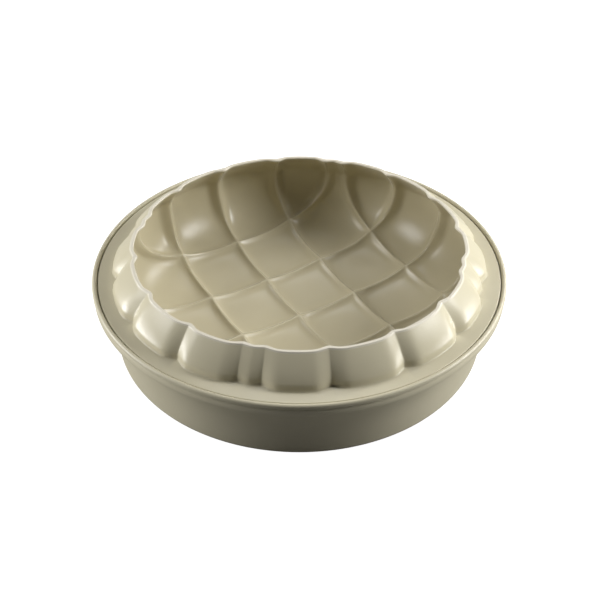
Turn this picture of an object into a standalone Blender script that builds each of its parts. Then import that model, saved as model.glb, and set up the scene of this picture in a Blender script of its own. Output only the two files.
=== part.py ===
# Quilted silicone cake mould: a thin lobed cup that hangs by its flange in a stiff ring.
# Metres, +Z up. The origin is in the middle of the foot, at table height.

from math import acos, asin, atan2, cos, hypot, pi, radians, sin, sqrt, tan

import bmesh
import bpy
from mathutils import Vector

# Cup, measured on the seam ridges of its inner face
BELLY_RADIUS = 0.1082
COLLAR_LEAN = 0.0108
COLLAR_HEIGHT = 0.0171
CUP_DROP = 0.0390
FLOOR_DISH_RADIUS = 0.4760
SIDE_TURN_WIDTH = 0.0360
SIDE_TURN_POWER = 2.6
COLLAR_BEND_POWER = 1.4
WALL = 0.0020
LIP_ROUND = WALL / 2

# Quilt pressed into the cup
QUILT_TURN = radians(31)
STRIP_ANGLE = radians(7)
PAD_DEPTH = 0.0036
SEAM_SAG = 0.6
SAG_POWER = 2
LOBE_DEPTH = 0.0034
RIM_LOBE_DEPTH = 0.0020
STRIP_CROWN = 0.3
PAD_POWER = 5
LOBE_POWER = 4
LOBE_FULL_SHARE = 0.7
SEAM_LINES = 2
PANEL_STEPS = (0, 0.08, 0.25, 0.5, 0.75, 0.92, 1)
LOBE_ROOT_STEPS = (0, 0.3, 1)
SIDE_ROWS = 6
COLLAR_ROWS = 3
LIP_TURNS = (radians(45), radians(90), radians(135))

# Flange of the cup
FLANGE_WIDTH = 0.0081
FLANGE_THICKNESS = 0.0022
FLANGE_FILLET = 0.0008
FLANGE_EDGE_ROUND = 0.0005

# Ring that carries the cup
BEAD_WIDTH = 0.0027
BEAD_PROUD = 0.0012
BEAD_HEIGHT = 0.0024
CREASE_DEPTH = 0.0006
CREASE_WIDTH = 0.0007
BAND_BOTTOM_DROP = 0.0040
LEDGE_THICKNESS = 0.0022
LIP_THICKNESS = 0.0020
RING_WALL = 0.0024
RING_DRAFT = radians(5)
LEDGE_FILLET = 0.0008
FOOT_ROUND = 0.0050
FOOT_WIDTH = 0.0040
RING_SEGMENTS = 72

# Clearances
SEAT_GAP = 0.0003
EDGE_GAP = 0.0006
CUP_SIDE_GAP = 0.0016
TABLE_GAP = 0.0008

# Heights above the table
FLOOR_HEIGHT = TABLE_GAP + WALL + PAD_DEPTH
FLANGE_BOTTOM = FLOOR_HEIGHT + CUP_DROP
FLANGE_TOP = FLANGE_BOTTOM + FLANGE_THICKNESS
COLLAR_FOOT = FLANGE_TOP + FLANGE_FILLET
LEDGE_HEIGHT = FLANGE_BOTTOM - SEAT_GAP
BEAD_TOP = FLANGE_TOP + BEAD_PROUD

# Radii that follow from the cup
CUP_OUTER_RADIUS = BELLY_RADIUS + LOBE_DEPTH + WALL
FLANGE_RADIUS = CUP_OUTER_RADIUS + FLANGE_WIDTH
REBATE_RADIUS = FLANGE_RADIUS + EDGE_GAP
BEAD_RADIUS = REBATE_RADIUS + BEAD_WIDTH
RIM_RADIUS = BELLY_RADIUS - COLLAR_LEAN

# The collar's wall ends in a round lip. COLLAR_HEIGHT reaches to the lip's top.
RIM_SLOPE = COLLAR_LEAN * COLLAR_BEND_POWER / (COLLAR_HEIGHT - FLANGE_FILLET - LIP_ROUND)
RIM_HEIGHT = FLANGE_TOP + COLLAR_HEIGHT - LIP_ROUND * (1 + RIM_SLOPE / hypot(RIM_SLOPE, 1))

# The seams are two sets of straight lines across the floor. They reach the outside of the belly
# a strip's width apart at the four corners of the quilt, and from there run straight up.
SEAM_REACH = BELLY_RADIUS + WALL
SEAM_SPACING = SEAM_REACH * cos(pi / 4 - STRIP_ANGLE / 2) / SEAM_LINES
CORNER_RADIUS = SEAM_SPACING * sqrt(5)
TURN_RADIUS = BELLY_RADIUS - SIDE_TURN_WIDTH


def cup_station(radius):
    # A place on the ridge surface inside the belly, as radius and height, and its outward normal.
    # The floor is a shallow dish, which turns up into the side along a superellipse.
    side_height = FLANGE_BOTTOM - FLOOR_HEIGHT - BELLY_RADIUS ** 2 / (2 * FLOOR_DISH_RADIUS)
    turn = max(0, (radius - TURN_RADIUS) / SIDE_TURN_WIDTH)
    level = sqrt(1 - turn ** SIDE_TURN_POWER)
    height = FLOOR_HEIGHT + radius ** 2 / (2 * FLOOR_DISH_RADIUS) + side_height * (1 - level)
    steepness = SIDE_TURN_POWER * turn ** (SIDE_TURN_POWER - 1) / (2 * level)
    slope = radius / FLOOR_DISH_RADIUS + side_height / SIDE_TURN_WIDTH * steepness
    length = hypot(slope, 1)
    return radius, height, slope / length, -1 / length


def collar_station(share):
    # A place on the collar, which bends inwards from the flange up to the rim.
    rise = RIM_HEIGHT - COLLAR_FOOT
    radius = BELLY_RADIUS - COLLAR_LEAN * share ** COLLAR_BEND_POWER
    lean = COLLAR_LEAN * COLLAR_BEND_POWER * share ** (COLLAR_BEND_POWER - 1)
    length = hypot(lean, rise)
    return radius, COLLAR_FOOT + rise * share, rise / length, lean / length


def wall_stations():
    # The cup's section from the outermost crossings up to the rim, a station for each row.
    corner_share = (CORNER_RADIUS - TURN_RADIUS) / SIDE_TURN_WIDTH
    corner_turn = asin(corner_share ** (SIDE_TURN_POWER / 2))
    stations = []
    for i in range(SIDE_ROWS):
        turn = corner_turn + (pi / 2 - corner_turn) * i / SIDE_ROWS
        share = sin(turn) ** (2 / SIDE_TURN_POWER)
        stations.append(cup_station(TURN_RADIUS + SIDE_TURN_WIDTH * share))
    stations.append((BELLY_RADIUS, FLANGE_BOTTOM, 1, 0))
    stations += [collar_station(i / COLLAR_ROWS) for i in range(COLLAR_ROWS + 1)]
    return stations


STATIONS = wall_stations()
RIM_ROW = len(STATIONS) - 1
FLANGE_ROW = SIDE_ROWS


def pillow(t, power):
    # Crown across a panel: nothing on the seams at 0 and 1, full in the middle.
    return 1 - abs(2 * t - 1) ** power


def crown(distance, power):
    # Crown across the seam lines of one set, the outermost of which has a half panel beyond it.
    lines = abs(distance) / SEAM_SPACING
    if lines > SEAM_LINES:
        return pillow(min(lines - SEAM_LINES, 0.5), power)
    return pillow(lines % 1, power)


def panel_depth(node):
    # How far the wall is pressed out from the surface that the seam ridges lie on.
    # A seam sags between two crossings, by a share of the pad's depth.
    x, y, row, across = node
    sag_x, sag_y = crown(x, SAG_POWER), crown(y, SAG_POWER)
    flat = SEAM_SAG * (sag_x + sag_y - sag_x * sag_y)
    flat += (1 - SEAM_SAG) * crown(x, PAD_POWER) * crown(y, PAD_POWER)
    if row == 0:
        return PAD_DEPTH * flat
    round_wall = pillow(across, LOBE_POWER)
    up = min(1, row / FLANGE_ROW)
    if max(abs(x), abs(y)) < SEAM_LINES * SEAM_SPACING:
        round_wall *= 1 + (STRIP_CROWN - 1) * up
    if row <= FLANGE_ROW:
        rise = min(1, up / LOBE_FULL_SHARE)
        blend = rise * rise * (3 - 2 * rise)
        full = PAD_DEPTH + (LOBE_DEPTH - PAD_DEPTH) * up
        return full * ((1 - blend) * flat + blend * round_wall)
    collar_up = (row - FLANGE_ROW - 1) / COLLAR_ROWS
    return (LOBE_DEPTH + (RIM_LOBE_DEPTH - LOBE_DEPTH) * collar_up) * round_wall


def lift(node, offset):
    # A node of the quilt's plan, brought onto the cup and moved outwards by the offset.
    x, y, row, _ = node
    angle = atan2(y, x) + QUILT_TURN
    station = STATIONS[row] if row else cup_station(hypot(x, y))
    radius, height, out, up = station
    depth = panel_depth(node)
    # The collar's lobes are pressed level, so that its rim stays level too.
    press_out, press_up = (1, 0) if row > FLANGE_ROW else (out, up)
    radius += press_out * depth + out * offset
    return radius * cos(angle), radius * sin(angle), height + press_up * depth + up * offset


class QuiltPlan:
    # Nodes and faces of the quilt, shared by the cup's inner and outer faces.

    def __init__(self):
        self.nodes = []
        self.index = {}
        self.faces = []
        self.rings = []

    def node(self, x, y, row=0, across=0):
        key = (round(x, 7), round(y, 7), row)
        if key not in self.index:
            self.index[key] = len(self.nodes)
            self.nodes.append((x, y, row, across))
        return self.index[key]

    def patch(self, place, steps_a, steps_b):
        # A grid of faces over place(a, b). Where a side shrinks to a point, its faces are triangles.
        grid = [[self.node(*place(a, b)) for b in steps_b] for a in steps_a]
        for left, right in zip(grid, grid[1:]):
            for i in range(len(steps_b) - 1):
                self.face((left[i], right[i], right[i + 1], left[i + 1]))

    def face(self, corners):
        unique = tuple(dict.fromkeys(corners))
        if len(unique) > 2:
            self.faces.append(unique)


def placed(x, y, quarter, mirrored):
    # A place in the quilt's first half quarter, brought to any of the eight.
    if mirrored:
        x, y = y, x
    for _ in range(quarter):
        x, y = -y, x
    return x, y


def ring_angles(plan_radius):
    # Angles of a ring's nodes in one quarter, with the panel that each lies in.
    near = asin(SEAM_SPACING / plan_radius)
    far = acos(2 * SEAM_SPACING / plan_radius)
    bounds = (0, near, far, pi / 2 - far, pi / 2 - near, pi / 2)
    halves = [t / 2 for t in PANEL_STEPS]
    strip = halves + [1 - t for t in reversed(halves[:-1])]
    angles = []
    for i, (start, end) in enumerate(zip(bounds, bounds[1:])):
        steps = strip if i == 2 else PANEL_STEPS
        angles += [(start + (end - start) * t, t) for t in steps[:-1]]
    return angles


def quilt_plan():
    plan = QuiltPlan()
    s = SEAM_SPACING
    corner_angle = asin(s / CORNER_RADIUS)

    def pad(column, row):
        return lambda a, b: ((column + a) * s, (row + b) * s)

    def corner_pad(a, b):
        # Between two seams and the arc through the outermost crossings.
        right = corner_angle + (pi / 4 - corner_angle) * b
        top = pi / 2 - corner_angle - (pi / 4 - corner_angle) * a
        arc_x = CORNER_RADIUS * (a * cos(right) + b * cos(top))
        arc_y = CORNER_RADIUS * (a * sin(right) + b * sin(top))
        middle = CORNER_RADIUS * cos(pi / 4)
        x = (1 - b) * (1 + a) * s + (1 - a) * s + arc_x
        y = (1 - b) * s + (1 - a) * (1 + b) * s + arc_y
        x -= (1 - a) * (1 - b) * s + a * (1 - b) * 2 * s + (1 - a) * b * s + a * b * middle
        y -= (1 - a) * (1 - b) * s + a * (1 - b) * s + (1 - a) * b * 2 * s + a * b * middle
        return x, y

    def lobe_root(a, b):
        # Between the outermost seam and the arc: it starts at nothing beside the crossing.
        angle = a * corner_angle
        x = 2 * s + b * (CORNER_RADIUS * cos(angle) - 2 * s)
        y = a * s + b * (CORNER_RADIUS * sin(angle) - a * s)
        return x, y

    for column in range(-2, 2):
        for row in range(-2, 2):
            if column in (-1, 0) or row in (-1, 0):
                plan.patch(pad(column, row), PANEL_STEPS, PANEL_STEPS)
    for quarter in range(4):
        plan.patch(
            lambda a, b: placed(*corner_pad(a, b), quarter, False), PANEL_STEPS, PANEL_STEPS
        )
        for mirrored in (False, True):
            plan.patch(
                lambda a, b: placed(*lobe_root(a, b), quarter, mirrored), PANEL_STEPS, LOBE_ROOT_STEPS
            )

    for row, (radius, *_) in enumerate(STATIONS):
        reach = (SEAM_REACH - CORNER_RADIUS) / (BELLY_RADIUS - CORNER_RADIUS)
        plan_radius = CORNER_RADIUS + (radius - CORNER_RADIUS) * reach
        if row > FLANGE_ROW:
            plan_radius = SEAM_REACH
        ring = []
        for quarter in range(4):
            for angle, across in ring_angles(plan_radius):
                x, y = plan_radius * cos(angle), plan_radius * sin(angle)
                ring.append(plan.node(*placed(x, y, quarter, False), row, across))
        plan.rings.append(ring)
    for lower, upper in zip(plan.rings, plan.rings[1:]):
        for i in range(len(lower)):
            j = (i + 1) % len(lower)
            plan.face((lower[i], upper[i], upper[j], lower[j]))
    return plan


def bridge(bm, first, second):
    for i in range(len(first)):
        j = (i + 1) % len(first)
        corners = tuple(dict.fromkeys((first[i], second[i], second[j], first[j])))
        bm.faces.new(corners)


def circle(bm, like, radius, height):
    # A ring of vertices at the angles of another ring.
    ring = []
    for vertex in like:
        scale = radius / hypot(vertex.co.x, vertex.co.y)
        ring.append(bm.verts.new((vertex.co.x * scale, vertex.co.y * scale, height)))
    return ring


def widened(bm, like, step, height):
    ring = []
    for vertex in like:
        scale = 1 + step / hypot(vertex.co.x, vertex.co.y)
        ring.append(bm.verts.new((vertex.co.x * scale, vertex.co.y * scale, height)))
    return ring


def finish(name, bm, colour, roughness, crease_angle):
    bmesh.ops.recalc_face_normals(bm, faces=bm.faces)
    mesh = bpy.data.meshes.new(name)
    bm.to_mesh(mesh)
    bm.free()
    mesh.shade_smooth()
    mesh.set_sharp_from_angle(angle=crease_angle)
    obj = bpy.data.objects.new(name, mesh)
    bpy.context.collection.objects.link(obj)
    material = bpy.data.materials.new(name + "_material")
    material.use_nodes = True
    shader = material.node_tree.nodes["Principled BSDF"]
    shader.inputs["Base Color"].default_value = (*colour, 1)
    shader.inputs["Roughness"].default_value = roughness
    shader.inputs["Metallic"].default_value = 0
    mesh.materials.append(material)
    return obj


def make_mould_cup():
    plan = quilt_plan()
    bm = bmesh.new()
    inner = [bm.verts.new(lift(node, 0)) for node in plan.nodes]
    outer = [bm.verts.new(lift(node, WALL)) for node in plan.nodes]
    for face in plan.faces:
        bm.faces.new([inner[i] for i in face])
    for face in plan.faces:
        rows = {plan.nodes[i][2] for i in face}
        if rows != {FLANGE_ROW, FLANGE_ROW + 1}:
            bm.faces.new([outer[i] for i in reversed(face)])

    loops = [[inner[i] for i in plan.rings[RIM_ROW]]]
    *_, out, up = STATIONS[RIM_ROW]
    for turn in LIP_TURNS:
        loop = []
        for i in plan.rings[RIM_ROW]:
            middle = (inner[i].co + outer[i].co) / 2
            across = (outer[i].co - inner[i].co) / 2
            inwards = Vector((-middle.x, -middle.y, 0)).normalized()
            along = (inwards * up + Vector((0, 0, out))) * LIP_ROUND
            loop.append(bm.verts.new(middle - across * cos(turn) + along * sin(turn)))
        loops.append(loop)
    loops.append([outer[i] for i in plan.rings[RIM_ROW]])
    for first, second in zip(loops, loops[1:]):
        bridge(bm, first, second)

    collar_foot = [outer[i] for i in plan.rings[FLANGE_ROW + 1]]
    wall_below = [outer[i] for i in plan.rings[FLANGE_ROW]]
    loops = [
        collar_foot,
        widened(bm, collar_foot, FLANGE_FILLET, FLANGE_TOP),
        circle(bm, collar_foot, FLANGE_RADIUS - FLANGE_EDGE_ROUND, FLANGE_TOP),
        circle(bm, collar_foot, FLANGE_RADIUS, FLANGE_TOP - FLANGE_EDGE_ROUND),
        circle(bm, collar_foot, FLANGE_RADIUS, FLANGE_BOTTOM + FLANGE_EDGE_ROUND),
        circle(bm, collar_foot, FLANGE_RADIUS - FLANGE_EDGE_ROUND, FLANGE_BOTTOM),
        wall_below,
    ]
    for first, second in zip(loops, loops[1:]):
        bridge(bm, first, second)
    return finish("mould_cup", bm, (0.47, 0.43, 0.34), 0.5, radians(60))


def ring_wall_radius(height):
    # Outside of the drafted wall, which clears the cup's belly at the ledge.
    top = CUP_OUTER_RADIUS + CUP_SIDE_GAP + RING_WALL
    return top - (LEDGE_HEIGHT - height) * tan(RING_DRAFT)


def arc(radius, height, size, start, end, steps):
    # Points of a round corner about a centre, angles in degrees from the radius outwards.
    points = []
    for i in range(steps + 1):
        angle = radians(start + (end - start) * i / steps)
        points.append((radius + size * cos(angle), height + size * sin(angle)))
    return points


def ring_outline():
    # The ring's section, from the foot up the outside, over the bead and down the inside.
    foot_centre = ring_wall_radius(FOOT_ROUND) - FOOT_ROUND
    ledge_bottom = LEDGE_HEIGHT - LEDGE_THICKNESS
    band_radius = BEAD_RADIUS - CREASE_DEPTH / 2
    band_bottom = LEDGE_HEIGHT - BAND_BOTTOM_DROP
    lip_inside = band_radius - LIP_THICKNESS
    crease = BEAD_TOP - BEAD_HEIGHT
    crown_radius = BEAD_WIDTH / 2
    wall_inside = ring_wall_radius(LEDGE_HEIGHT) - RING_WALL
    wall_fillet = ring_wall_radius(ledge_bottom - LEDGE_FILLET)
    points = [(foot_centre - FOOT_WIDTH, 0)]
    points += arc(foot_centre, FOOT_ROUND, FOOT_ROUND, -90, 0, 4)
    points += [
        (wall_fillet, ledge_bottom - LEDGE_FILLET),
        (wall_fillet + LEDGE_FILLET, ledge_bottom),
        (lip_inside, ledge_bottom),
        (lip_inside, band_bottom),
        (band_radius, band_bottom),
        (band_radius, crease - CREASE_WIDTH),
        (BEAD_RADIUS - CREASE_DEPTH, crease - CREASE_WIDTH / 2),
        (BEAD_RADIUS, crease),
    ]
    points += arc(BEAD_RADIUS - crown_radius, BEAD_TOP - crown_radius, crown_radius, 0, 180, 6)
    points += [
        (REBATE_RADIUS, LEDGE_HEIGHT),
        (wall_inside + LEDGE_FILLET, LEDGE_HEIGHT),
        (wall_inside, LEDGE_HEIGHT - LEDGE_FILLET),
    ]
    points += arc(foot_centre, FOOT_ROUND, FOOT_ROUND - RING_WALL, 0, -90, 2)
    points.append((foot_centre - FOOT_WIDTH, RING_WALL))
    return points


def make_support_ring():
    bm = bmesh.new()
    section = [bm.verts.new((radius, 0, height)) for radius, height in ring_outline()]
    edges = [bm.edges.new((section[i - 1], section[i])) for i in range(len(section))]
    bmesh.ops.spin(
        bm, geom=section + edges, cent=(0, 0, 0), axis=(0, 0, 1), angle=2 * pi,
        steps=RING_SEGMENTS, use_merge=True
    )
    return finish("support_ring", bm, (0.49, 0.45, 0.36), 0.45, radians(40))


def build():
    for obj in list(bpy.data.objects):
        bpy.data.objects.remove(obj, do_unlink=True)
    make_support_ring()
    make_mould_cup()


build()
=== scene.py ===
from math import acos, asin, atan2, cos, hypot, pi, radians, sin, sqrt, tan

import bmesh
import bpy
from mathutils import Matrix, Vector


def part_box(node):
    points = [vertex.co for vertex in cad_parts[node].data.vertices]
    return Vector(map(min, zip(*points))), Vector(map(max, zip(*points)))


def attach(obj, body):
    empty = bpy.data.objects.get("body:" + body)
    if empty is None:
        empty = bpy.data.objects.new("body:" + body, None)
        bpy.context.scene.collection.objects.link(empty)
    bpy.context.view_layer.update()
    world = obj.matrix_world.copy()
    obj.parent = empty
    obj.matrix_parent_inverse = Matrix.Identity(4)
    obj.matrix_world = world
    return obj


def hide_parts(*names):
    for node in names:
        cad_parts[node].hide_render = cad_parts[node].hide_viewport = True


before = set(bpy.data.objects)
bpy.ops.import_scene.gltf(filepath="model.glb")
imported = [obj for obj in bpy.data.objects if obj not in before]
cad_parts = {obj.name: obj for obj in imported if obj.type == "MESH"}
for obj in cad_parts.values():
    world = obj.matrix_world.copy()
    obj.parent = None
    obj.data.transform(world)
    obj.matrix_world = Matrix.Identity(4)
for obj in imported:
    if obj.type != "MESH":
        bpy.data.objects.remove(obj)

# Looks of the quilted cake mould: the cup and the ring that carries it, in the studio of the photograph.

print("frame loaded:", ", ".join(sorted(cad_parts)))
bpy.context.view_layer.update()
cupLow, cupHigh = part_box("mould_cup")
ringLow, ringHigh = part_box("support_ring")


# small helpers for node trees

def addNode(tree, kind, **settings):
    node = tree.nodes.new(kind)
    for name, value in settings.items():
        setattr(node, name, value)
    return node


def plug(tree, value, socket):
    # a socket is linked, a plain value is set
    if isinstance(value, bpy.types.NodeSocket):
        tree.links.new(value, socket)
    else:
        socket.default_value = value


def calc(tree, operation, *values):
    node = addNode(tree, "ShaderNodeMath", operation=operation)
    for value, socket in zip(values, node.inputs):
        plug(tree, value, socket)
    return node.outputs[0]


def ramped(tree, value, low, high, atLow=0.0, atHigh=1.0):
    # smooth step between two values
    node = addNode(tree, "ShaderNodeMapRange", interpolation_type="SMOOTHSTEP")
    for name, setting in zip(("Value", "From Min", "From Max", "To Min", "To Max"), (value, low, high, atLow, atHigh)):
        plug(tree, setting, node.inputs[name])
    return node.outputs["Result"]


def blended(tree, share, first, second):
    # first where share is 0, second where it is 1
    return calc(tree, "ADD", first, calc(tree, "MULTIPLY", share, calc(tree, "SUBTRACT", second, first)))


def addSocket(tree, name, kind="NodeSocketFloat", side="INPUT", value=None):
    socket = tree.interface.new_socket(name, in_out=side, socket_type=kind)
    if value is not None:
        socket.default_value = value
    return socket


def noise(tree, place, scale, detail, roughness=0.5):
    node = addNode(tree, "ShaderNodeTexNoise")
    for name, value in zip(("Vector", "Scale", "Detail", "Roughness"), (place, scale, detail, roughness)):
        plug(tree, value, node.inputs[name])
    return node.outputs["Fac"]


def mixedColor(tree, share, first, second, kind="MIX"):
    node = addNode(tree, "ShaderNodeMix", data_type="RGBA", blend_type=kind)
    for name, value in zip(("Factor", "A", "B"), (share, first, second)):
        plug(tree, value, node.inputs[name])
    return node.outputs["Result"]


# shader groups that both finishes use

grainPattern = {
    "peelDetail": 2.0,
    "grainDetail": 3.0,
    "patchScale": 38.0,     # of the patches that differ in gloss
    "patchDetail": 4.0,
    "patchRange": (0.35, 0.68),
}


def makeFineGrain():
    # moulded skin: orange peel and a fine grain as a height, with a mask for gloss
    tree = bpy.data.node_groups.new("fineGrain", "ShaderNodeTree")
    addSocket(tree, "Peel Scale", value=320.0)
    addSocket(tree, "Grain Scale", value=2600.0)
    addSocket(tree, "Grain Share", value=0.35)
    addSocket(tree, "Height", side="OUTPUT")
    addSocket(tree, "Gloss Mask", side="OUTPUT")
    source = addNode(tree, "NodeGroupInput").outputs
    out = addNode(tree, "NodeGroupOutput")
    place = addNode(tree, "ShaderNodeTexCoord").outputs["Object"]
    peel = noise(tree, place, source["Peel Scale"], grainPattern["peelDetail"])
    grain = noise(tree, place, source["Grain Scale"], grainPattern["grainDetail"])
    plug(tree, blended(tree, source["Grain Share"], peel, grain), out.inputs["Height"])
    patches = noise(tree, place, grainPattern["patchScale"], grainPattern["patchDetail"])
    plug(tree, ramped(tree, patches, *grainPattern["patchRange"]), out.inputs["Gloss Mask"])
    return tree


driftPattern = {
    "detail": 5.0,
    "roughness": 0.6,
    "range": (0.3, 0.7),
}


def makeToneDrift():
    # slow drift between a colour and a slightly darker, warmer one
    tree = bpy.data.node_groups.new("toneDrift", "ShaderNodeTree")
    addSocket(tree, "Light Tone", "NodeSocketColor", value=(0.5, 0.5, 0.5, 1.0))
    addSocket(tree, "Deep Tone", "NodeSocketColor", value=(0.4, 0.4, 0.4, 1.0))
    addSocket(tree, "Drift Scale", value=16.0)
    addSocket(tree, "Color", "NodeSocketColor", side="OUTPUT")
    source = addNode(tree, "NodeGroupInput").outputs
    out = addNode(tree, "NodeGroupOutput")
    place = addNode(tree, "ShaderNodeTexCoord").outputs["Object"]
    slow = noise(tree, place, source["Drift Scale"], driftPattern["detail"], driftPattern["roughness"])
    share = ramped(tree, slow, *driftPattern["range"])
    plug(tree, mixedColor(tree, share, source["Light Tone"], source["Deep Tone"]), out.inputs["Color"])
    return tree


fineGrain = makeFineGrain()
toneDrift = makeToneDrift()


def placeGroup(tree, group, values):
    # each socket takes the value of its name, written without its spaces
    node = addNode(tree, "ShaderNodeGroup", node_tree=group)
    for socket in node.inputs:
        name = socket.name.replace(" ", "")
        plug(tree, values[name[0].lower() + name[1:]], socket)
    return node.outputs


def startFinish(name, finish):
    # what both finishes share: their own grain, tone and gloss
    material = bpy.data.materials.new(name)
    material.use_nodes = True
    tree = material.node_tree
    shader = tree.nodes["Principled BSDF"]
    shader.inputs["IOR"].default_value = finish["refraction"]
    grain = placeGroup(tree, fineGrain, finish)
    tone = placeGroup(tree, toneDrift, finish)["Color"]
    gloss = ramped(tree, grain["Gloss Mask"], 0.0, 1.0, finish["roughLow"], finish["roughHigh"])
    return material, tree, shader.inputs, grain["Height"], tone, gloss


def bumped(tree, height, distance, strength, normal=None):
    node = addNode(tree, "ShaderNodeBump")
    plug(tree, height, node.inputs["Height"])
    plug(tree, distance, node.inputs["Distance"])
    plug(tree, strength, node.inputs["Strength"])
    if normal:
        plug(tree, normal, node.inputs["Normal"])
    return node.outputs["Normal"]


siliconeFinish = {
    "lightTone": (0.550, 0.508, 0.368, 1.0),
    "deepTone": (0.522, 0.480, 0.343, 1.0),
    "driftScale": 14.0,
    "innerTint": (0.955, 0.932, 0.885, 1.0),     # painted shade: the inside is tinted darker and warmer, standing in for light bounced between its walls
    "ridgeTone": (0.580, 0.535, 0.425, 1.0),
    "ridgeShare": 0.10,
    "lipTone": (0.665, 0.622, 0.515, 1.0),       # painted glow: the thin lip is coloured lighter, standing in for light shining through it
    "roughLow": 0.29,
    "roughHigh": 0.35,
    "ridgePolish": 0.08,
    "peelScale": 420.0,
    "grainScale": 2400.0,
    "grainShare": 0.4,
    "grainHeight": 0.00006,
    "grainStrength": 0.6,
    "unevenScale": 42.0,
    "unevenDetail": 1.5,
    "unevenHeight": 0.00045,
    "unevenStrength": 0.5,
    "sheen": 0.10,
    "sheenRoughness": 0.5,
    "refraction": 1.42,
}


def makeSilicone():
    finish = siliconeFinish
    material, tree, inputs, height, color, gloss = startFinish("warmGreySilicone", finish)
    ridge, innerFace, lipFace = (
        addNode(tree, "ShaderNodeAttribute", attribute_name=name).outputs["Fac"]
        for name in ("seamRidge", "innerFace", "lipFace")
    )
    # painted shade: the inside faces are tinted darker and warmer, standing in for light bounced between the walls
    color = mixedColor(tree, innerFace, color, finish["innerTint"], "MULTIPLY")
    color = mixedColor(tree, calc(tree, "MULTIPLY", ridge, finish["ridgeShare"]), color, finish["ridgeTone"])
    # painted glow: the lip is coloured lighter, standing in for light shining through the thin silicone
    color = mixedColor(tree, lipFace, color, finish["lipTone"])
    plug(tree, color, inputs["Base Color"])
    polish = calc(tree, "MULTIPLY", ridge, finish["ridgePolish"])
    plug(tree, calc(tree, "SUBTRACT", gloss, polish), inputs["Roughness"])
    place = addNode(tree, "ShaderNodeTexCoord").outputs["Object"]
    uneven = noise(tree, place, finish["unevenScale"], finish["unevenDetail"])
    wide = bumped(tree, uneven, finish["unevenHeight"], finish["unevenStrength"])
    fine = bumped(tree, height, finish["grainHeight"], finish["grainStrength"], wide)
    plug(tree, fine, inputs["Normal"])
    inputs["Sheen Weight"].default_value = finish["sheen"]
    inputs["Sheen Roughness"].default_value = finish["sheenRoughness"]
    return material


plasticFinish = {
    "lightTone": (0.545, 0.505, 0.372, 1.0),
    "deepTone": (0.515, 0.475, 0.344, 1.0),
    "driftScale": 22.0,
    "roughLow": 0.34,
    "roughHigh": 0.44,
    "peelScale": 600.0,
    "grainScale": 3200.0,
    "grainShare": 0.55,
    "grainHeight": 0.00004,
    "grainStrength": 0.5,
    "refraction": 1.48,
}


def makePlastic():
    finish = plasticFinish
    material, tree, inputs, height, color, gloss = startFinish("ringPlastic", finish)
    plug(tree, color, inputs["Base Color"])
    plug(tree, gloss, inputs["Roughness"])
    plug(tree, bumped(tree, height, finish["grainHeight"], finish["grainStrength"]), inputs["Normal"])
    return material


silicone = makeSilicone()
plastic = makePlastic()
print("materials made")


# the cup: its smooth section, laid out along the quilt's seams

cup = {
    "floorHeight": 0.0072,
    "dishRadius": 0.4760,
    "bellyRadius": 0.1082,
    "turnWidth": 0.0360,
    "turnPower": 2.6,
    "wall": 0.0020,
    "flangeBottom": 0.0454,
    "flangeTop": 0.0476,
    "flangeRadius": cupHigh.x,
    "edgeRound": 0.0007,
    "collarFoot": 0.0483,
    "filletWidth": 0.0010,
    "collarLean": 0.0108,
    "collarBend": 1.4,
    "collarHeight": 0.0153,    # over which the lean is spread
    "rimTop": cupHigh.z - 0.00003,
    "lipRound": 0.00105,       # stands a little proud of the wall outside
    "lipFlat": 0.00035,
    "quiltTurn": radians(31),
    "stripAngle": radians(7),
    "seamLines": 2,
    "panelSteps": 27,
    "stepCrowding": 0.75,
    "rootSteps": 10,
    "sideRows": 25,
    "bandRows": 3,
    "collarRows": 15,
    "filletRows": 2,
    "lipTurns": 15,
    "filletStep": 15,          # degrees between the rows of the flange's fillet
    "edgeStep": 30,            # and of its rounded edge
    "weldDistance": 1e-7,
}
cup["seamReach"] = cup["bellyRadius"] + cup["wall"]
cup["spacing"] = cup["seamReach"] * cos(pi / 4 - cup["stripAngle"] / 2) / cup["seamLines"]
cup["cornerRadius"] = cup["spacing"] * sqrt(5)
cup["turnRadius"] = cup["bellyRadius"] - cup["turnWidth"]
cup["sideHeight"] = cup["flangeBottom"] - cup["floorHeight"] - cup["bellyRadius"] ** 2 / (2 * cup["dishRadius"])
rimSlope = cup["collarLean"] * cup["collarBend"] / cup["collarHeight"]
cup["rimHeight"] = cup["rimTop"] - cup["lipRound"] * (1 + rimSlope / hypot(rimSlope, 1)) + cup["lipFlat"]


def sectionAt(share, level):
    # a place on the dished floor or side, and the outward normal: radius, height, out, up
    radius = cup["turnRadius"] + cup["turnWidth"] * share
    height = cup["floorHeight"] + radius ** 2 / (2 * cup["dishRadius"]) + cup["sideHeight"] * (1 - level)
    steep = cup["turnPower"] * max(0, share) ** (cup["turnPower"] - 1) / 2
    run = level
    rise = level * radius / cup["dishRadius"] + cup["sideHeight"] / cup["turnWidth"] * steep
    length = hypot(run, rise)
    return radius, height, rise / length, -run / length


def floorSection(radius):
    share = (radius - cup["turnRadius"]) / cup["turnWidth"]
    return sectionAt(share, sqrt(1 - max(0, share) ** cup["turnPower"]))


def sideSection(up):
    # up runs from the ring of outermost crossings to the flange
    cornerShare = (cup["cornerRadius"] - cup["turnRadius"]) / cup["turnWidth"]
    cornerTurn = asin(cornerShare ** (cup["turnPower"] / 2))
    turn = cornerTurn + (pi / 2 - cornerTurn) * up
    return sectionAt(sin(turn) ** (2 / cup["turnPower"]), max(0, cos(turn)))


def collarSection(up):
    rise = cup["rimHeight"] - cup["collarFoot"]
    radius = cup["bellyRadius"] - cup["collarLean"] * up ** cup["collarBend"]
    lean = cup["collarLean"] * cup["collarBend"] * up ** (cup["collarBend"] - 1)
    length = hypot(lean, rise)
    return radius, cup["collarFoot"] + rise * up, rise / length, lean / length


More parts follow.
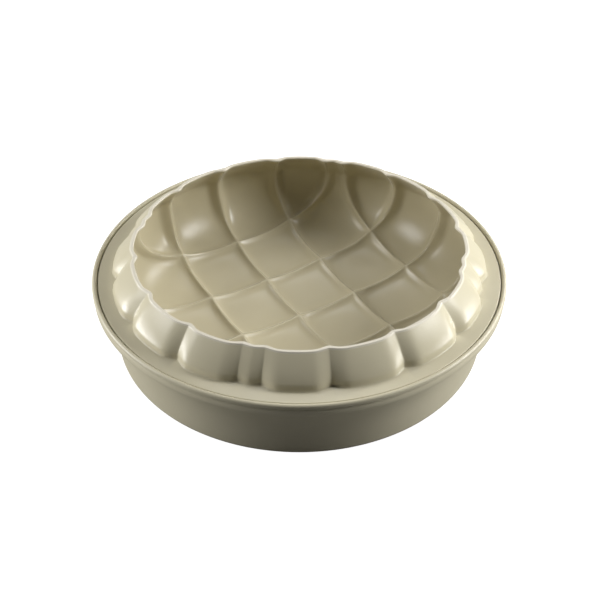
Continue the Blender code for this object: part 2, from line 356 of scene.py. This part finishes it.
def makeRows():
    # every row of the wall: section, share up the side, share up the collar, has an outer skin
    rows = []
    for i in range(cup["sideRows"] + 1):
        rows.append((sideSection(i / cup["sideRows"]), i / cup["sideRows"], 0.0, True))
    for i in range(1, cup["bandRows"]):
        height = cup["flangeBottom"] + (cup["collarFoot"] - cup["flangeBottom"]) * i / cup["bandRows"]
        rows.append(((cup["bellyRadius"], height, 1.0, 0.0), 1.0, 0.0, False))
    for i in range(cup["collarRows"] + 1):
        hasOuter = cup["filletRows"] <= i < cup["collarRows"]    # the flange's fillet and the lip take over
        rows.append((collarSection(i / cup["collarRows"]), 1.0, i / cup["collarRows"], hasOuter))
    return rows


def crowdedSteps(count):
    # shares from 0 to 1, close together at both ends, where the seams are
    return [i / count - cup["stepCrowding"] * sin(2 * pi * i / count) / (2 * pi) for i in range(count + 1)]


def placed(x, y, quarter, mirrored):
    # a place in the first half quarter of the quilt, brought to any of the eight
    if mirrored:
        x, y = y, x
    for _ in range(quarter):
        x, y = -y, x
    return x, y


class QuiltPlan:
    def __init__(self):
        self.nodes = []
        self.index = {}
        self.faces = []
        self.rings = []

    def node(self, x, y, row=0, across=0.0, angle=0.0, strip=0.0):
        key = (round(x, 7), round(y, 7), row)
        if key not in self.index:
            self.index[key] = len(self.nodes)
            self.nodes.append((x, y, row, across, angle, strip))
        return self.index[key]

    def patch(self, place, stepsA, stepsB):
        grid = [[self.node(*place(a, b)) for b in stepsB] for a in stepsA]
        for left, right in zip(grid, grid[1:]):
            for i in range(len(stepsB) - 1):
                self.face((left[i], right[i], right[i + 1], left[i + 1]))

    def face(self, corners):
        unique = tuple(dict.fromkeys(corners))
        if len(unique) > 2:
            self.faces.append(unique)


def makePlan(rows):
    plan = QuiltPlan()
    s = cup["spacing"]
    outer = cup["cornerRadius"]
    cornerAngle = asin(s / outer)
    steps = crowdedSteps(cup["panelSteps"])
    rootSteps = [i / cup["rootSteps"] for i in range(cup["rootSteps"] + 1)]

    def pad(column, row):
        return lambda a, b: ((column + a) * s, (row + b) * s)

    def cornerPad(a, b):
        # between two seams and the arc through the outermost crossings
        right = cornerAngle + (pi / 4 - cornerAngle) * b
        top = pi / 2 - cornerAngle - (pi / 4 - cornerAngle) * a
        middle = outer * cos(pi / 4)
        x = (1 - a) * s + a * outer * cos(right) + (1 - b) * (1 + a) * s + b * outer * cos(top)
        y = (1 - b) * s + b * outer * sin(top) + (1 - a) * (1 + b) * s + a * outer * sin(right)
        x -= (1 - a) * (1 - b) * s + a * (1 - b) * 2 * s + (1 - a) * b * s + a * b * middle
        y -= (1 - a) * (1 - b) * s + a * (1 - b) * s + (1 - a) * b * 2 * s + a * b * middle
        return x, y

    def lobeRoot(a, b):
        # between the outermost seam and the arc: it starts at nothing beside the crossing
        angle = a * cornerAngle
        return 2 * s + b * (outer * cos(angle) - 2 * s), a * s + b * (outer * sin(angle) - a * s)

    for column in range(-2, 2):
        for row in range(-2, 2):
            if column in (-1, 0) or row in (-1, 0):
                plan.patch(pad(column, row), steps, steps)
    for quarter in range(4):
        plan.patch(lambda a, b: placed(*cornerPad(a, b), quarter, False), steps, steps)
        for mirrored in (False, True):
            plan.patch(lambda a, b: placed(*lobeRoot(a, b), quarter, mirrored), steps, rootSteps)

    # the corner pad's arc has two panels' worth of steps, so a strip has as many
    halves = [t / 2 for t in steps]
    stripSteps = halves + [1 - t for t in reversed(halves[:-1])]
    for row, (section, up, *_) in enumerate(rows):
        reach = (cup["seamReach"] - outer) / (cup["bellyRadius"] - outer)
        planRadius = outer + (section[0] - outer) * reach if up < 1 else cup["seamReach"]
        near, far = asin(s / planRadius), acos(2 * s / planRadius)
        bounds = (0, near, far, pi / 2 - far, pi / 2 - near, pi / 2)
        ring = []
        for quarter in range(4):
            for i, (start, end) in enumerate(zip(bounds, bounds[1:])):
                strip = 1.0 if i == 2 else 0.0
                for t in (stripSteps if i == 2 else steps)[:-1]:
                    angle = start + (end - start) * t
                    x, y = placed(planRadius * cos(angle), planRadius * sin(angle), quarter, False)
                    ring.append(plan.node(x, y, row, t, end - start, strip))
        plan.rings.append(ring)
    for lower, upper in zip(plan.rings, plan.rings[1:]):
        for i in range(len(lower)):
            j = (i + 1) % len(lower)
            plan.face((lower[i], upper[i], upper[j], lower[j]))
    return plan


class Shell:
    # points of the unpressed cup, each with what the quilting needs to know about it
    fields = ("seamX", "seamY", "across", "panelWidth", "sideUp", "collarUp", "strip", "press", "skin", "lip")

    def __init__(self):
        self.points = []
        self.outward = []    # along the wall's thickness
        self.pressing = []   # the way the lobes and pads are pressed
        self.values = {name: [] for name in self.fields}
        self.faces = []

    def add(self, turn, section, values, level):
        radius, height, out, up = section
        self.points.append((radius * cos(turn), radius * sin(turn), height))
        self.outward.append((out * cos(turn), out * sin(turn), up))
        self.pressing.append((cos(turn), sin(turn), 0.0) if level else self.outward[-1])
        for name in self.fields:
            self.values[name].append(values[name])
        return len(self.points) - 1

    def bridge(self, first, second):
        for i in range(len(first)):
            j = (i + 1) % len(first)
            corners = tuple(dict.fromkeys((first[i], second[i], second[j], first[j])))
            if len(corners) > 2:
                self.faces.append(corners)


def makeShell():
    rows = makeRows()
    plan = makePlan(rows)
    shell = Shell()
    inner, outer, facts = [], [], []
    for x, y, row, across, angle, strip in plan.nodes:
        section, up, collarUp, hasOuter = rows[row]
        if row == 0:
            section = floorSection(hypot(x, y))
        values = {
            "seamX": x / cup["spacing"], "seamY": y / cup["spacing"], "across": across,
            "panelWidth": angle * section[0], "sideUp": up, "collarUp": collarUp,
            "strip": strip, "press": 1.0, "skin": 0.0, "lip": 0.0,
        }
        level = row > cup["sideRows"]    # the collar's lobes are pressed level, so its rim stays level
        turn = atan2(y, x) + cup["quiltTurn"]
        facts.append((turn, section, values))
        inner.append(shell.add(turn, section, values, level))
        outer.append(shell.add(turn, section, {**values, "skin": 1.0}, level) if hasOuter else None)
    for face in plan.faces:
        shell.faces.append(tuple(inner[i] for i in face))
        below = [outer[i] for i in reversed(face)]
        if None not in below:
            shell.faces.append(tuple(below))

    def ringAt(ring, section, **changes):
        # a ring of points beside another, pressed level
        made = []
        for i in ring:
            turn, _, values = facts[i]
            made.append(shell.add(turn, section, {**values, **changes}, True))
        return made

    # the lip: a bead with a flat top, flush with the inner skin and slightly proud of the outer one
    rim = plan.rings[-1]
    loops = [[inner[i] for i in rim]]
    radius, height, out, up = rows[-1][0]
    lip = cup["lipRound"]
    lastTurn = 2 * pi - acos(1 - cup["wall"] / lip)    # where the bead sinks into the outer skin
    for i in range(1, cup["lipTurns"] + 1):
        turn = lastTurn * i / cup["lipTurns"]
        along, reach = lip * sin(turn), lip * (1 - cos(turn))
        level = height + out * along
        level -= max(0, level + up * reach - cup["rimTop"])
        section = (radius - up * along, level, out, up)
        loops.append(ringAt(rim, section, skin=reach / cup["wall"], lip=1.0))
    loops.append([outer[i] for i in plan.rings[-2]])
    for first, second in zip(loops, loops[1:]):
        shell.bridge(first, second)

    # the flange: a soft fillet out of the lobes, a flat top and a rounded edge
    footRow = cup["sideRows"] + cup["bandRows"] + cup["filletRows"]
    foot = plan.rings[footRow]
    belly = plan.rings[cup["sideRows"]]
    loops = [[outer[i] for i in foot]]
    radius, height, *_ = rows[footRow][0]
    for angle in range(cup["filletStep"], 91, cup["filletStep"]):
        reach = radius + cup["filletWidth"] * (1 - cos(radians(angle)))
        drop = (height - cup["flangeTop"]) * sin(radians(angle))
        loops.append(ringAt(foot, (reach, height - drop, 1.0, 0.0), skin=1.0))
    centre = cup["flangeRadius"] - cup["edgeRound"]
    top, bottom = cup["flangeTop"] - cup["edgeRound"], cup["flangeBottom"] + cup["edgeRound"]
    for middle, start in ((top, 0), (bottom, 90)):
        for angle in range(start, start + 91, cup["edgeStep"]):
            reach = centre + cup["edgeRound"] * sin(radians(angle))
            section = (reach, middle + cup["edgeRound"] * cos(radians(angle)), 1.0, 0.0)
            loops.append(ringAt(foot, section, press=0.0, skin=0.0))
    loops.append([outer[i] for i in belly])
    for first, second in zip(loops, loops[1:]):
        shell.bridge(first, second)
    return shell


def shellToMesh(shell):
    mesh = bpy.data.meshes.new("cupShell")
    mesh.from_pydata(shell.points, [], shell.faces)
    for name, vectors in (("outward", shell.outward), ("pressing", shell.pressing)):
        attribute = mesh.attributes.new(name, "FLOAT_VECTOR", "POINT")
        attribute.data.foreach_set("vector", [c for vector in vectors for c in vector])
    for name in shell.fields:
        mesh.attributes.new(name, "FLOAT", "POINT").data.foreach_set("value", shell.values[name])
    return mesh


# Geometry Nodes: the quilt's pads and lobes are pressed out of that section

def makePanelCrown():
    # crown of one panel from the distance to its nearest seam, whose crest is softened
    tree = bpy.data.node_groups.new("panelCrown", "GeometryNodeTree")
    for name in ("Distance", "Half Panel", "Softness", "Power", "Flank Width", "Flank Share", "Flank Power"):
        addSocket(tree, name)
    addSocket(tree, "Crown", side="OUTPUT")
    source = addNode(tree, "NodeGroupInput").outputs
    out = addNode(tree, "NodeGroupOutput")
    soft = calc(tree, "MULTIPLY", source["Softness"], source["Softness"])

    def softened(distance):
        square = calc(tree, "ADD", calc(tree, "MULTIPLY", distance, distance), soft)
        return calc(tree, "SUBTRACT", calc(tree, "SQRT", square), source["Softness"])

    def risen(width, power):
        share = calc(tree, "MINIMUM", calc(tree, "DIVIDE", softened(source["Distance"]), width), 1.0)
        return calc(tree, "SUBTRACT", 1.0, calc(tree, "POWER", calc(tree, "SUBTRACT", 1.0, share), power))

    room = calc(tree, "MAXIMUM", softened(source["Half Panel"]), 0.00001)    # never nothing: it divides
    dome = risen(room, source["Power"])
    flank = risen(calc(tree, "MINIMUM", source["Flank Width"], room), source["Flank Power"])
    plug(tree, blended(tree, source["Flank Share"], dome, flank), out.inputs["Crown"])
    return tree


quilt = {
    "Seam Spacing": cup["spacing"],
    "Seam Lines": float(cup["seamLines"]),
    "Pad Depth": 0.0044,
    "Seam Sag": 0.45,
    "Sag Power": 2.0,
    "Pad Power": 4.5,
    "Pad Flank": 0.0045,
    "Pad Flank Share": 0.35,   # of the pressing, the rest is the pad's dome
    "Lobe Flank": 0.0055,
    "Lobe Flank Reach": 0.5,   # share of the side over which the flanks widen
    "Outer Flank": 0.0080,     # beside the grooves of the outer skin
    "Lobe Flank Share": 0.75,
    "Flank Power": 1.3,
    "Lobe Depth": 0.0038,
    "Rim Depth": 0.0020,
    "Lobe Power": 2.5,
    "Strip Crown": 0.30,
    "Lobe Full Share": 0.7,
    "Full Width": 0.012,
    "Bead Width": 0.0036,
    "Bead Height": 0.0004,
    "Ridge Width": 0.0105,     # of the rounded ridges up the wall
    "Ridge Height": 0.0011,
    "Ridge Reach": 0.6,        # share of the side over which they widen
    "Ridge Rim Fade": 0.5,
    "Ridge Outer Fade": 0.75,
    "Pad Softness": 0.0004,
    "Ridge Softness": 0.0014,
    "Groove Share": 0.25,      # of the softness, on the outer skin
    "Wall": cup["wall"],
    "Waviness": 0.0003,
    "Wave Scale": 15.0,
    "Wave Detail": 1.0,
}


def makeQuiltPress():
    tree = bpy.data.node_groups.new("quiltPress", "GeometryNodeTree")
    addSocket(tree, "Geometry", "NodeSocketGeometry")
    for name in quilt:
        addSocket(tree, name)
    addSocket(tree, "Finish", "NodeSocketMaterial")
    addSocket(tree, "Geometry", "NodeSocketGeometry", side="OUTPUT")
    source = addNode(tree, "NodeGroupInput").outputs
    out = addNode(tree, "NodeGroupOutput")
    panelCrown = makePanelCrown()

    def known(name, kind="FLOAT"):
        node = addNode(tree, "GeometryNodeInputNamedAttribute", data_type=kind)
        node.inputs["Name"].default_value = name
        return node.outputs["Attribute"]

    def product(*values):
        result = values[0]
        for value in values[1:]:
            result = calc(tree, "MULTIPLY", result, value)
        return result

    def crown(distance, half, softness, power, flankWidth=1.0, flankShare=0.0):
        node = addNode(tree, "GeometryNodeGroup", node_tree=panelCrown)
        settings = {"Distance": distance, "Half Panel": half, "Softness": softness, "Power": power}
        settings.update({"Flank Width": flankWidth, "Flank Share": flankShare, "Flank Power": source["Flank Power"]})
        for name, value in settings.items():
            plug(tree, value, node.inputs[name])
        return node.outputs["Crown"]

    def lineDistance(place):
        # metres to the nearest seam of one set: past the last line a panel is half as wide
        lines = calc(tree, "ABSOLUTE", place)
        inside = calc(tree, "PINGPONG", lines, 0.5)
        outside = calc(tree, "MINIMUM", calc(tree, "SUBTRACT", lines, source["Seam Lines"]), 0.5)
        isOutside = calc(tree, "GREATER_THAN", lines, source["Seam Lines"])
        return product(blended(tree, isOutside, inside, outside), source["Seam Spacing"])

    skin = known("skin")
    skinShare = calc(tree, "MINIMUM", skin, 1.0)
    sharper = blended(tree, skinShare, 1.0, source["Groove Share"])
    padSoftness = product(source["Pad Softness"], sharper)
    ridgeSoftness = product(source["Ridge Softness"], sharper)

    # pads of the floor: seams that sag between crossings, crisp pads and a slim bead on each seam
    halfPad = product(source["Seam Spacing"], 0.5)
    distanceX, distanceY = lineDistance(known("seamX")), lineDistance(known("seamY"))
    sagX = crown(distanceX, halfPad, padSoftness, source["Sag Power"])
    sagY = crown(distanceY, halfPad, padSoftness, source["Sag Power"])
    edge = (source["Pad Flank"], source["Pad Flank Share"])
    crispX = crown(distanceX, halfPad, padSoftness, source["Pad Power"], *edge)
    crispY = crown(distanceY, halfPad, padSoftness, source["Pad Power"], *edge)
    sag = calc(tree, "SUBTRACT", calc(tree, "ADD", sagX, sagY), product(sagX, sagY))
    flat = blended(tree, source["Seam Sag"], product(crispX, crispY), sag)
    nearest = calc(tree, "MINIMUM", distanceX, distanceY)

    def rounded(distance, width):
        share = calc(tree, "DIVIDE", distance, product(width, 0.5))
        return calc(tree, "MAXIMUM", calc(tree, "SUBTRACT", 1.0, product(share, share)), 0.0)

    bead = rounded(nearest, source["Bead Width"])

    # lobes of the wall: rounded ridges between them, and low strips at the quilt's corners
    width = known("panelWidth")
    side = product(calc(tree, "PINGPONG", known("across"), 0.5), width)
    up, collarUp = known("sideUp"), known("collarUp")
    widening = ramped(tree, up, 0.0, source["Lobe Flank Reach"])
    flank = blended(tree, widening, source["Pad Flank"], source["Lobe Flank"])
    flank = blended(tree, skinShare, flank, source["Outer Flank"])
    lobe = crown(side, product(width, 0.5), ridgeSoftness, source["Lobe Power"], flank, source["Lobe Flank Share"])
    lower = blended(tree, product(known("strip"), up), 1.0, source["Strip Crown"])
    lobe = product(lobe, ramped(tree, width, 0.0, source["Full Width"]), lower)

    blend = ramped(tree, up, 0.0, source["Lobe Full Share"])
    depth = blended(tree, up, source["Pad Depth"], source["Lobe Depth"])
    fade = product(collarUp, calc(tree, "SUBTRACT", source["Rim Depth"], source["Lobe Depth"]))
    depth = product(calc(tree, "ADD", depth, fade), blended(tree, blend, flat, lobe))
    spread = ramped(tree, up, 0.0, source["Ridge Reach"], source["Bead Width"], source["Ridge Width"])
    fading = calc(tree, "SUBTRACT", 1.0, product(collarUp, source["Ridge Rim Fade"]))
    outside = calc(tree, "SUBTRACT", 1.0, product(skinShare, source["Ridge Outer Fade"]))
    ridge = product(rounded(side, spread), source["Ridge Height"], fading, outside)
    depth = calc(tree, "SUBTRACT", depth, blended(tree, blend, product(bead, source["Bead Height"]), ridge))

    # a soft moulding is nowhere quite true
    wave = addNode(tree, "ShaderNodeTexNoise")
    plug(tree, source["Wave Scale"], wave.inputs["Scale"])
    plug(tree, source["Wave Detail"], wave.inputs["Detail"])
    depth = calc(tree, "SUBTRACT", depth, product(wave.outputs["Fac"], source["Waviness"]))

    def scaledVector(vector, scale):
        node = addNode(tree, "ShaderNodeVectorMath", operation="SCALE")
        plug(tree, vector, node.inputs[0])
        plug(tree, scale, node.inputs["Scale"])
        return node.outputs["Vector"]

    press = known("press")
    offset = addNode(tree, "ShaderNodeVectorMath", operation="ADD")
    plug(tree, scaledVector(known("pressing", "FLOAT_VECTOR"), product(depth, press)), offset.inputs[0])
    plug(tree, scaledVector(known("outward", "FLOAT_VECTOR"), product(skin, source["Wall"])), offset.inputs[1])

    # the material lightens and polishes the ridges a little
    ridgeWall = ramped(tree, side, 0.0, source["Ridge Softness"], 1.0, 0.0)
    onRidge = product(blended(tree, blend, bead, ridgeWall), press, calc(tree, "SUBTRACT", 1.0, skinShare))
    shape = source["Geometry"]
    # painted shade: this mask places the darker, warmer tint on the inside faces
    inside = product(press, calc(tree, "SUBTRACT", 1.0, skinShare))
    # the lip's mask places its painted glow
    for name, value in (("seamRidge", onRidge), ("innerFace", inside), ("lipFace", known("lip"))):
        mark = addNode(tree, "GeometryNodeStoreNamedAttribute", data_type="FLOAT", domain="POINT")
        mark.inputs["Name"].default_value = name
        plug(tree, shape, mark.inputs["Geometry"])
        plug(tree, value, mark.inputs["Value"])
        shape = mark.outputs["Geometry"]
    move = addNode(tree, "GeometryNodeSetPosition")
    plug(tree, shape, move.inputs["Geometry"])
    plug(tree, offset.outputs["Vector"], move.inputs["Offset"])
    whole = addNode(tree, "GeometryNodeRealizeInstances")
    plug(tree, move.outputs["Geometry"], whole.inputs["Geometry"])
    paint = addNode(tree, "GeometryNodeSetMaterial")
    plug(tree, whole.outputs["Geometry"], paint.inputs["Geometry"])
    plug(tree, source["Finish"], paint.inputs["Material"])
    plug(tree, paint.outputs["Geometry"], out.inputs["Geometry"])
    return tree


def setInputs(modifier, values):
    for item in modifier.node_group.interface.items_tree:
        if item.item_type == "SOCKET" and item.in_out == "INPUT" and item.name in values:
            modifier[item.identifier] = values[item.name]


def addObject(name, mesh):
    obj = bpy.data.objects.new(name, mesh)
    bpy.context.scene.collection.objects.link(obj)
    return obj


def bakedCopy(obj, name):
    # the evaluated shape as a plain mesh on an object of its own
    graph = bpy.context.evaluated_depsgraph_get()
    mesh = bpy.data.meshes.new_from_object(obj.evaluated_get(graph))
    mesh.name = name
    bpy.data.objects.remove(obj, do_unlink=True)
    return addObject(name, mesh)


def closeUp(mesh):
    # double points merged, and faces turned outwards on the closed shell
    bm = bmesh.new()
    bm.from_mesh(mesh)
    bmesh.ops.remove_doubles(bm, verts=bm.verts, dist=cup["weldDistance"])
    bmesh.ops.recalc_face_normals(bm, faces=bm.faces)
    volume = bm.calc_volume(signed=True)
    if volume < 0:
        bmesh.ops.reverse_faces(bm, faces=bm.faces)
    opened = sum(1 for edge in bm.edges if len(edge.link_faces) != 2)
    triangles = sum(len(face.verts) - 2 for face in bm.faces)
    bm.to_mesh(mesh)
    bm.free()
    mesh.shade_smooth()
    print(f"  {mesh.name}: {triangles} triangles, {opened} open edges, {abs(volume) * 1e6:.1f} cm3")


def makeCup():
    raw = addObject("cupRaw", shellToMesh(makeShell()))
    modifier = raw.modifiers.new("quiltPress", "NODES")
    modifier.node_group = makeQuiltPress()
    setInputs(modifier, {**quilt, "Finish": silicone})
    obj = bakedCopy(raw, "quiltedCup")
    for name in (*Shell.fields, "outward", "pressing"):
        obj.data.attributes.remove(obj.data.attributes[name])
    closeUp(obj.data)
    return obj


quiltedCup = makeCup()
print("cup made")


# the support ring: one section, turned round the axis

ring = {
    "beadRadius": ringHigh.x,
    "beadTop": ringHigh.z,
    "beadWidth": 0.0027,
    "beadHeight": 0.0024,
    "creaseDepth": 0.0006,
    "creaseWidth": 0.0007,
    "rebateRadius": 0.1223,
    "ledgeHeight": 0.0451,
    "ledgeThickness": 0.0022,
    "bandDrop": 0.0040,
    "lipThickness": 0.0020,
    "wallTop": 0.1176,
    "wallThickness": 0.0024,
    "draft": radians(5),
    "fillet": 0.0008,
    "footRound": 0.0050,
    "footWidth": 0.0040,
    "smallRound": 0.0004,
    "sharpAngle": radians(50),
    "segments": 288,
}


def wallRadius(height):
    return ring["wallTop"] - (ring["ledgeHeight"] - height) * tan(ring["draft"])


def arcPoints(radius, height, size, start, end, steps):
    points = []
    for i in range(steps + 1):
        angle = radians(start + (end - start) * i / steps)
        points.append((radius + size * cos(angle), height + size * sin(angle)))
    return points


def ringSection():
    footCentre = wallRadius(ring["footRound"]) - ring["footRound"]
    ledgeBottom = ring["ledgeHeight"] - ring["ledgeThickness"]
    band = ring["beadRadius"] - ring["creaseDepth"] / 2
    bandBottom = ring["ledgeHeight"] - ring["bandDrop"]
    lipInside = band - ring["lipThickness"]
    crease = ring["beadTop"] - ring["beadHeight"]
    bead = ring["beadWidth"] / 2
    wallInside = wallRadius(ring["ledgeHeight"]) - ring["wallThickness"]
    wallOutside = wallRadius(ledgeBottom - ring["fillet"])
    small = ring["smallRound"]
    points = [(footCentre - ring["footWidth"], 0)]
    points += arcPoints(footCentre, ring["footRound"], ring["footRound"], -90, 0, 10)
    points += arcPoints(wallOutside + ring["fillet"], ledgeBottom - ring["fillet"], ring["fillet"], 180, 90, 4)
    points += [(lipInside - small, ledgeBottom), (lipInside, ledgeBottom - small)]
    points += arcPoints(lipInside + small, bandBottom + small, small, 180, 270, 3)
    points += arcPoints(band - small, bandBottom + small, small, 270, 360, 3)
    points += [
        (band, crease - ring["creaseWidth"]),
        (ring["beadRadius"] - ring["creaseDepth"], crease - ring["creaseWidth"] / 2),
        (ring["beadRadius"], crease),
    ]
    points += arcPoints(ring["beadRadius"] - bead, ring["beadTop"] - bead, bead, 0, 180, 14)
    points += [(ring["rebateRadius"], ring["ledgeHeight"] + small), (ring["rebateRadius"] - small, ring["ledgeHeight"])]
    points += arcPoints(wallInside + ring["fillet"], ring["ledgeHeight"] - ring["fillet"], ring["fillet"], 90, 180, 4)
    points += arcPoints(footCentre, ring["footRound"], ring["footRound"] - ring["wallThickness"], 0, -90, 6)
    points.append((footCentre - ring["footWidth"], ring["wallThickness"]))
    return points


def makeRing():
    bm = bmesh.new()
    section = [bm.verts.new((radius, 0, height)) for radius, height in ringSection()]
    edges = [bm.edges.new((section[i - 1], section[i])) for i in range(len(section))]
    bmesh.ops.spin(
        bm, geom=section + edges, cent=(0, 0, 0), axis=(0, 0, 1), angle=2 * pi,
        steps=ring["segments"], use_merge=True
    )
    mesh = bpy.data.meshes.new("turnedRing")
    bm.to_mesh(mesh)
    bm.free()
    closeUp(mesh)
    mesh.materials.append(plastic)
    mesh.set_sharp_from_angle(angle=ring["sharpAngle"])
    return addObject("turnedRing", mesh)


turnedRing = makeRing()
print("ring made")

for piece, body, node, slotName in (
    (quiltedCup, "cup", "mould_cup", "silicone"),
    (turnedRing, "ring", "support_ring", "ring_plastic"),
):
    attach(piece, body)
    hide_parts(node)


# floor, light and camera

studio = {
    "floorSize": 6.0,
    "lightTone": (0.220, 0.218, 0.214, 1.0),
    "deepTone": (0.205, 0.203, 0.199, 1.0),
    "driftScale": 3.0,
    "roughness": 0.9,
    "white": (1.0, 1.0, 1.0, 1.0),
    "glowForCamera": 1.0,
    "skyForCamera": 1.0,
    "skyForLight": 0.04,
    "lightAim": (0.0, 0.0, 0.03),
}


def makeFloor():
    half = studio["floorSize"] / 2
    mesh = bpy.data.meshes.new("studioFloor")
    mesh.from_pydata([(-half, -half, 0), (half, -half, 0), (half, half, 0), (-half, half, 0)], [], [(0, 1, 2, 3)])
    material = bpy.data.materials.new("paleFloor")
    material.use_nodes = True
    tree = material.node_tree
    shader = tree.nodes["Principled BSDF"]
    plug(tree, placeGroup(tree, toneDrift, studio)["Color"], shader.inputs["Base Color"])
    shader.inputs["Roughness"].default_value = studio["roughness"]
    shader.inputs["Emission Color"].default_value = studio["white"]
    seen = addNode(tree, "ShaderNodeLightPath").outputs["Is Camera Ray"]
    plug(tree, calc(tree, "MULTIPLY", seen, studio["glowForCamera"]), shader.inputs["Emission Strength"])
    mesh.materials.append(material)
    addObject("studioFloor", mesh)


def makeSky():
    world = bpy.data.worlds.new("studioSky")
    bpy.context.scene.world = world
    world.use_nodes = True
    tree = world.node_tree
    sky = tree.nodes["Background"]
    sky.inputs["Color"].default_value = studio["white"]
    seen = addNode(tree, "ShaderNodeLightPath").outputs["Is Camera Ray"]
    plug(tree, blended(tree, seen, studio["skyForLight"], studio["skyForCamera"]), sky.inputs["Strength"])


softboxes = {
    "rightKey": {"place": (0.70, 0.01, 0.52), "size": (0.28, 0.28), "power": 5.2},
    "leftKey": {"place": (-0.70, 0.01, 0.52), "size": (0.34, 0.34), "power": 3.4},
    "rightSide": {"place": (0.85, 0.03, 0.10), "size": (0.44, 0.16), "power": 4.1},
    "leftSide": {"place": (-0.85, 0.03, 0.10), "size": (0.44, 0.16), "power": 5.0},
    "rightBack": {"place": (0.60, 0.45, 0.42), "size": (0.16, 0.16), "power": 2.5},
    "top": {"place": (0.0, 0.42, 0.82), "size": (0.40, 0.40), "power": 2.0},
}


def facing(place, aim):
    return (Vector(aim) - Vector(place)).to_track_quat("-Z", "Y").to_euler()


def makeLights():
    for name, box in softboxes.items():
        light = bpy.data.lights.new(name, "AREA")
        light.shape = "RECTANGLE"
        light.size, light.size_y = box["size"]
        light.energy = box["power"]
        lamp = addObject(name, light)
        lamp.location = box["place"]
        lamp.rotation_euler = facing(box["place"], studio["lightAim"])
        lamp.visible_camera = False


viewpoint = {
    "place": (0.0, -0.4813, 0.3987),
    "aim": (0.0, 0.0, 0.0),
    "lens": 58.4,
    "sensor": 36.0,
    "shift": (0.0012, 0.0403),
    "nearest": 0.01,
}


def makeCamera():
    camera = bpy.data.cameras.new("photoCamera")
    camera.lens = viewpoint["lens"]
    camera.sensor_width = viewpoint["sensor"]
    camera.shift_x, camera.shift_y = viewpoint["shift"]
    camera.clip_start = viewpoint["nearest"]
    holder = addObject("photoCamera", camera)
    holder.location = viewpoint["place"]
    holder.rotation_euler = facing(viewpoint["place"], viewpoint["aim"])
    bpy.context.scene.camera = holder


makeFloor()
makeSky()
makeLights()
makeCamera()
bpy.context.scene.view_settings.view_transform = "Standard"
print("studio made")
